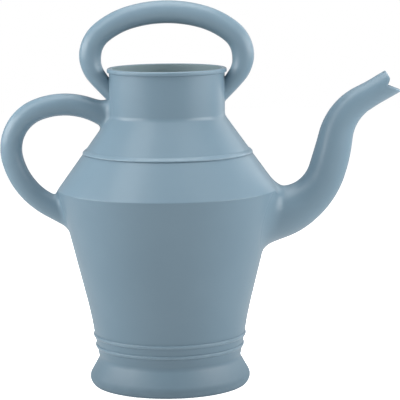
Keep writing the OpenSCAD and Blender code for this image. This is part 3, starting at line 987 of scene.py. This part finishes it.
def looped_handle(name, outline, tube, tubes, ends, fillets):
    """A hollow tube flared on to the body at both ends.

    ends is how much of the tube each root takes up, and fillets gives for each root a function
    of the angle that returns how far the fillet reaches along the tube and over the body.
    """
    t = tubes.tube_wall
    a = round_angles(tubes)
    first, last = ends[0], tube.length - ends[1]
    roots, starts, inner = [], [], []
    for side, inside, clear, fillet in ((1, 0.0, first, fillets[0]),
                                        (-1, tube.length, last, fillets[1])):
        along, spread = fillet(a)
        leaves = tube.exit(outline, a, 0.0, inside, clear)
        roots.append(flare(outline, tube, a, leaves, along, spread, side))
        starts.append(leaves + side * along)
        inner.append(tube.exit(outline, a, t, inside, clear))
    middle = np.linspace(0, 1, 96)
    rows = roots[0][::-1]
    rows += tube.stretch(a, starts[0], first, between(6))
    grip_begins = len(rows)
    rows += tube.stretch(a, first, last, middle)
    rows += tube.stretch(a, last, starts[1], between(6))
    rows += roots[1]
    rows.append(tube.skin(inner[1] + INNER_RUN, a, t))
    rows += tube.stretch(a, last, inner[1], np.linspace(1, 0, 6)[:-1], t)
    rows += tube.stretch(a, first, last, middle[::-1], t)
    rows += tube.stretch(a, first, inner[0], np.linspace(0, 1, 6)[1:], t)
    rows.append(tube.skin(inner[0] - INNER_RUN, a, t))
    rub = np.zeros(len(rows))
    rub[grip_begins:grip_begins + len(middle)] = GRIP_RUB * np.sin(math.pi * middle) ** 2
    place(loft(name, rows, rub, handle_plastic()), name)


def root_fillet(along, spread, more_along=0.0, more_spread=0.0, towards=1):
    """A fillet in millimetres that reaches further on the upper (1) or the lower (-1) side."""
    def fillet(a):
        share = np.clip(towards * np.cos(a), 0, 1)
        return (along + more_along * share) * MM, (spread + more_spread * share) * MM
    return fillet


class CAN_OT_handles(BuildOperator, bpy.types.Operator):
    """Build the rear loop handle and the carrying hoop"""
    bl_idname = "can.handles"
    bl_label = "Handles"

    def build(self, context, outline, tubes):
        """Lofts both handles."""
        grip = tubes.grip_radius
        keys = in_metres(REAR_SWELL, grip)
        rear = Tube(np.array(REAR_START) * MM, REAR_HEADING, REAR_LEGS, keys, keys)
        fillets = root_fillet(6, 5, 12, 9, -1), root_fillet(9, 7, 5, 4)
        looped_handle("rear_handle", outline, rear, tubes, REAR_ENDS, fillets)

        even = [(0, grip)]
        probe = Tube((0, tubes.crown_height), 180, HOOP_HALF, even, even)
        end, heading = probe.walk(np.array([probe.length]))
        keys = in_metres(HOOP_SWELL, tubes.hoop_root_radius) + [(HOOP_SWELLED, grip)]
        keys += [(2 * probe.length - s, r) for s, r in keys[::-1]]
        hoop = Tube((-end[0, 0], end[0, 1]), 360 - math.degrees(heading[0]),
                    HOOP_HALF[::-1] + HOOP_HALF, keys, even)
        fillets = root_fillet(1.6, 1.4), root_fillet(1.6, 1.4)
        looped_handle("top_handle", outline, hoop, tubes, HOOP_ENDS, fillets)


# Softboxes: bearing from the camera's side in degrees, distance from the axis, height, width,
# tallness, power
SOFTBOXES = (
    (-75, 1.0, 0.55, 1.1, 0.5, 10.2), (75, 1.0, 0.55, 1.1, 0.5, 10.2),
    (130, 1.0, 0.6, 0.5, 0.9, 2.1), (180, 0.7, 1.2, 0.9, 0.5, 1.4),
    (-60, 0.8, 1.2, 0.6, 0.6, 3.7), (60, 0.8, 1.2, 0.6, 0.6, 1.3), (0, 0.0, 1.3, 0.9, 0.9, 8.5))
# Broad lobes of fill from the floor and the backdrop: where each comes from and its strength
FILL_LOBES = (((0, -1, -1), 0.72), ((0, 1, -1), 0.59), ((1, 0, -1), 0.42), ((-1, 0, -1), 0.42),
              ((0, 1, 0), 0.23), ((0, 0, -1), 0.42))
FLOOR_RADIUS = 3.0
AIM = Vector((0, 0, 0.22))


class CAN_OT_stage(bpy.types.Operator):
    """Set up the pale floor, the softboxes and the camera"""
    bl_idname = "can.stage"
    bl_label = "Studio"
    bl_options = {"REGISTER", "UNDO"}

    def execute(self, context):
        """Builds the studio."""
        setup = context.scene.can_stage
        self.floor()
        self.world(context.scene, setup.bounce)
        for index, (bearing, distance, height, wide, tall, power) in enumerate(SOFTBOXES):
            turn_to = math.radians(bearing)
            at = (math.sin(turn_to) * distance, -math.cos(turn_to) * distance, height)
            self.softbox(f"softbox_{index + 1}", at, wide, tall, power * setup.brightness)
        self.camera(context.scene, setup)
        context.scene.view_settings.view_transform = "Standard"
        return {"FINISHED"}

    def floor(self):
        """A wide disc under the can."""
        mesh = bpy.data.meshes.new("floor")
        bm = bmesh.new()
        bmesh.ops.create_circle(bm, cap_ends=True, segments=96, radius=FLOOR_RADIUS)
        bm.to_mesh(mesh)
        bm.free()
        mesh.materials.append(floor_paint())
        floor = add_object("floor", mesh)
        for ray in ("diffuse", "glossy", "shadow"):
            setattr(floor, "visible_" + ray, False)

    def world(self, scene, bounce):
        """White behind the can, and a fill that rises from the pale floor."""
        world = scene.world or bpy.data.worlds.new("studio")
        scene.world = world
        world.use_nodes = True
        tree = world.node_tree
        tree.nodes.clear()
        link = tree.links.new
        out, seen, fill, choose, path, coords = (
            tree.nodes.new("ShaderNode" + kind) for kind in (
                "OutputWorld", "Background", "Background", "MixShader", "LightPath", "TexCoord"))
        give(seen, {"Color": (1, 1, 1, 1)})
        give(fill, {"Strength": bounce})
        total = 0.0
        for towards, strength in FILL_LOBES:
            facing = tree.nodes.new("ShaderNodeVectorMath")
            facing.operation = "DOT_PRODUCT"
            facing.inputs[1].default_value = Vector(towards).normalized()
            link(coords.outputs["Generated"], facing.inputs[0])
            lobe = math_node(tree, "MAXIMUM", facing.outputs["Value"], 0)
            lobe = math_node(tree, "MULTIPLY", math_node(tree, "POWER", lobe, 2), strength)
            total = math_node(tree, "ADD", total, lobe)
        link(total, fill.inputs["Color"])
        link(path.outputs["Is Camera Ray"], choose.inputs["Fac"])
        link(fill.outputs[0], choose.inputs[1])
        link(seen.outputs[0], choose.inputs[2])
        link(choose.outputs[0], out.inputs["Surface"])

    def softbox(self, name, at, width, height, power):
        """A rectangular softbox that faces the middle of the can."""
        data = bpy.data.lights.new(name, "AREA")
        data.shape = "RECTANGLE"
        data.size, data.size_y = width, height
        data.energy = power
        light = add_object(name, data)
        light.location = at
        light.rotation_euler = (AIM - Vector(at)).to_track_quat("-Z", "Y").to_euler()
        light.visible_camera = False

    def camera(self, scene, setup):
        """A long lens at the side, a little above the can."""
        data = bpy.data.cameras.new("camera")
        data.lens = setup.lens
        data.sensor_width = 36
        data.clip_end = 50
        camera = add_object("camera", data)
        look = Vector((setup.look_x, 0, setup.look_z))
        away = Vector((0, -math.cos(setup.elevation), math.sin(setup.elevation)))
        camera.location = look + away * setup.distance
        aim = (-away).to_track_quat("-Z", "Y").to_matrix()
        camera.rotation_euler = (aim @ Matrix.Rotation(-setup.roll, 3, "Z")).to_euler()
        scene.camera = camera


# ---- sidebar panel, registration and the run ----

BUILD_STEPS = (CAN_OT_foot, CAN_OT_shells, CAN_OT_bands, CAN_OT_spout, CAN_OT_handles, CAN_OT_stage)


class CAN_PT_sidebar(bpy.types.Panel):
    """Buttons for each build step"""
    bl_idname = "CAN_PT_sidebar"
    bl_label = "Watering can"
    bl_space_type = "VIEW_3D"
    bl_region_type = "UI"
    bl_category = "Watering can"

    def draw(self, context):
        """Lists the build steps."""
        for step in BUILD_STEPS:
            self.layout.operator(step.bl_idname)


SETTINGS = {"can_body": CanBodySizes, "can_tubes": CanTubeSizes, "can_finish": CanFinish,
            "can_stage": CanStage}
CLASSES = (*SETTINGS.values(), *BUILD_STEPS, CAN_PT_sidebar)


def register():
    """Registers the classes and the settings."""
    for cls in CLASSES:
        bpy.utils.register_class(cls)
    for name, group in SETTINGS.items():
        setattr(bpy.types.Scene, name, PointerProperty(type=group))


def unregister():
    """Takes everything that register made away again."""
    for name in SETTINGS:
        delattr(bpy.types.Scene, name)
    for cls in reversed(CLASSES):
        bpy.utils.unregister_class(cls)


def main():
    register()
    for step in BUILD_STEPS:
        area, action = step.bl_idname.split(".")
        getattr(getattr(bpy.ops, area), action)()


if __name__ == "__main__":
    main()
